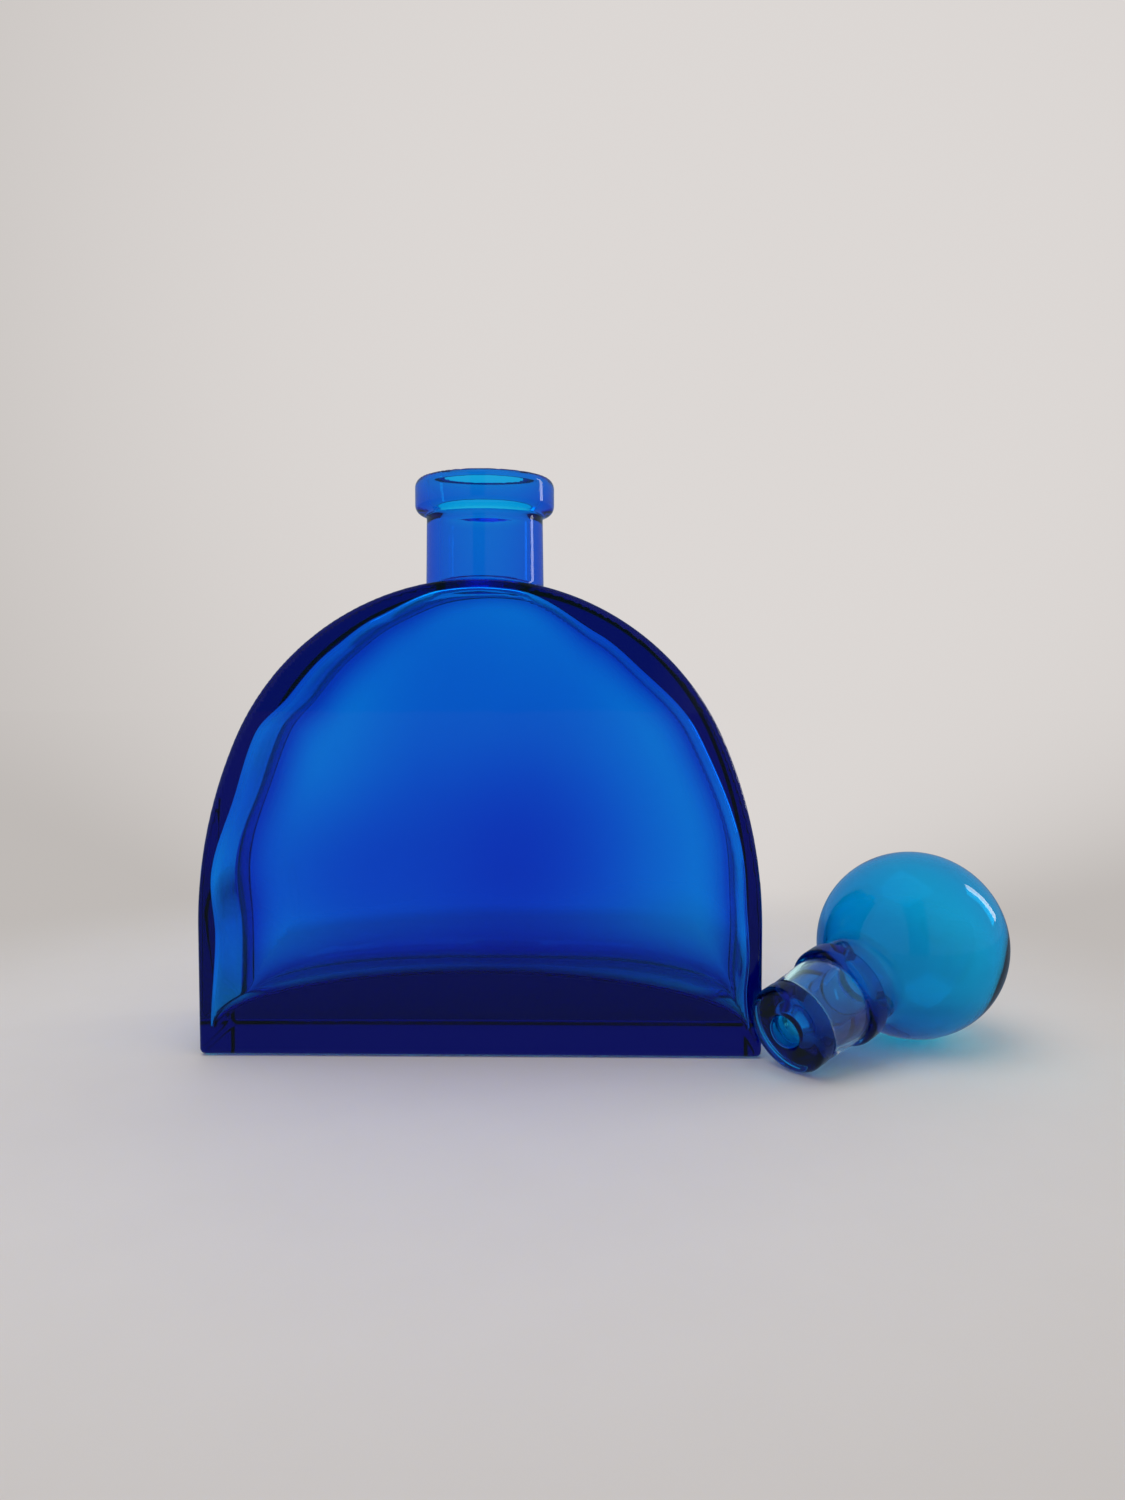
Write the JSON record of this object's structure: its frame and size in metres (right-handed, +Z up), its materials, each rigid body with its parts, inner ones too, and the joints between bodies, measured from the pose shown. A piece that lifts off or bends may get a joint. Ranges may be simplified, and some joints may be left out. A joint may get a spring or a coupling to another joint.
{
  "type": "stoppered glass bottle",
  "caption": "Flat arched cobalt-blue glass bottle with a short ringed neck, and its hollow ball stopper with a clear seal sleeve lying beside it.",
  "frame": {"origin": "centre of the bottle's flat underside, on the surface it stands on", "axes": "+Z up, +X to the right along the bottle's broad face and towards the stopper, +Y from the front face towards the back"},
  "size_m": [0.2575, 0.0806, 0.1822],
  "materials": {
    "bottle_glass": "clear cobalt-blue blown glass, glossy, gently uneven inside",
    "stopper_glass": "clear cobalt-blue blown glass, glossy, thin-walled in the ball",
    "seal_sleeve": "clear soft plastic, satin"
  },
  "bodies": {
    "bottle": {"bottle": "bottle_glass"},
    "stopper": {"stopper_glass": "stopper_glass", "seal_sleeve": "seal_sleeve"}
  },
  "joints": [
    {"name": "stopper_lift", "type": "slide", "parent": "bottle", "child": "stopper", "axis": [0, 0, 1], "range_m": [0, 0.2]}
  ]
}
